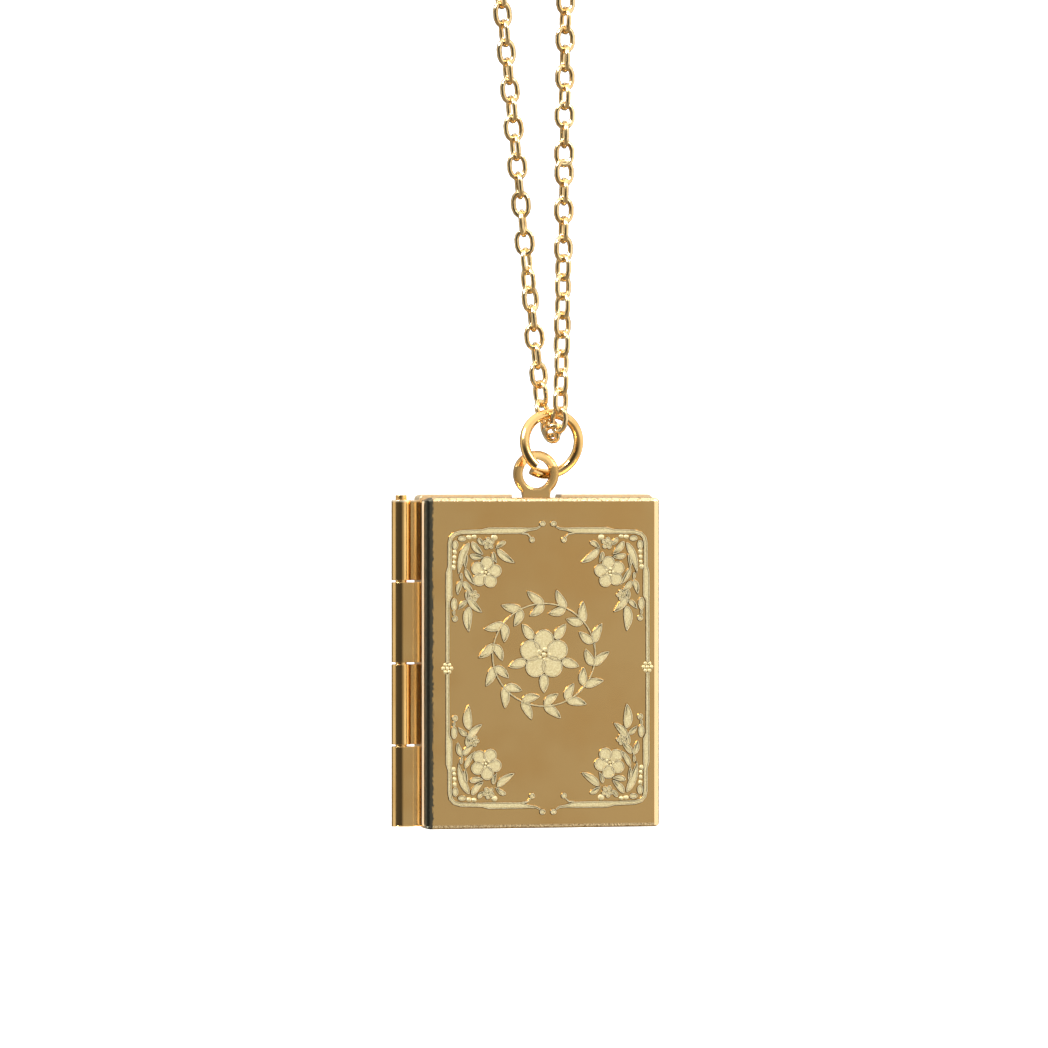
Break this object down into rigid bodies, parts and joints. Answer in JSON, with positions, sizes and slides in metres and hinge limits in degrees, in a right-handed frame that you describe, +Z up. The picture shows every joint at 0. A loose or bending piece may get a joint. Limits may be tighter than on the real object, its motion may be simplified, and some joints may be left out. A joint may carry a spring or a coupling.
{
  "type": "book locket necklace",
  "caption": "Rectangular locket shaped like a small book, with a knuckle hinge and a bail, on a jump ring and a fine cable chain with a claw clasp.",
  "frame": {"origin": "underside of the clasp at the top of the loop, where the necklace hangs on a peg or lies on the nape", "axes": "+Z up, the locket's front cover faces -Y, its hinge is on the -X side"},
  "size_m": [0.0336, 0.0041, 0.2496],
  "materials": {
    "case": "polished gold plating",
    "pin": "polished gold plating",
    "ring": "polished gold plating",
    "chain": "polished gold plating",
    "clasp": "polished gold plating"
  },
  "bodies": {
    "necklace": {"chain": "chain", "clasp": "clasp"},
    "ring": {"jump_ring": "ring"},
    "locket_back": {"back_cover": "case", "hinge_pin": "pin"},
    "locket_front": {"front_cover": "case"}
  },
  "joints": [
    {"name": "ring_swing", "type": "hinge", "parent": "necklace", "child": "ring", "pos_m": [0.00909, 0, -0.21268], "axis": [0.9976, 0.0698, 0], "range_deg": [-45, 45]},
    {"name": "locket_swing", "type": "hinge", "parent": "ring", "child": "locket_back", "pos_m": [0.00787, 0.00031, -0.21748], "axis": [1, 0, 0], "range_deg": [-30, 20]},
    {"name": "cover_hinge", "type": "hinge", "parent": "locket_back", "child": "locket_front", "pos_m": [-0.00333, 0.00001, -0.23258], "axis": [0, 0, -1], "range_deg": [0, 170]}
  ]
}
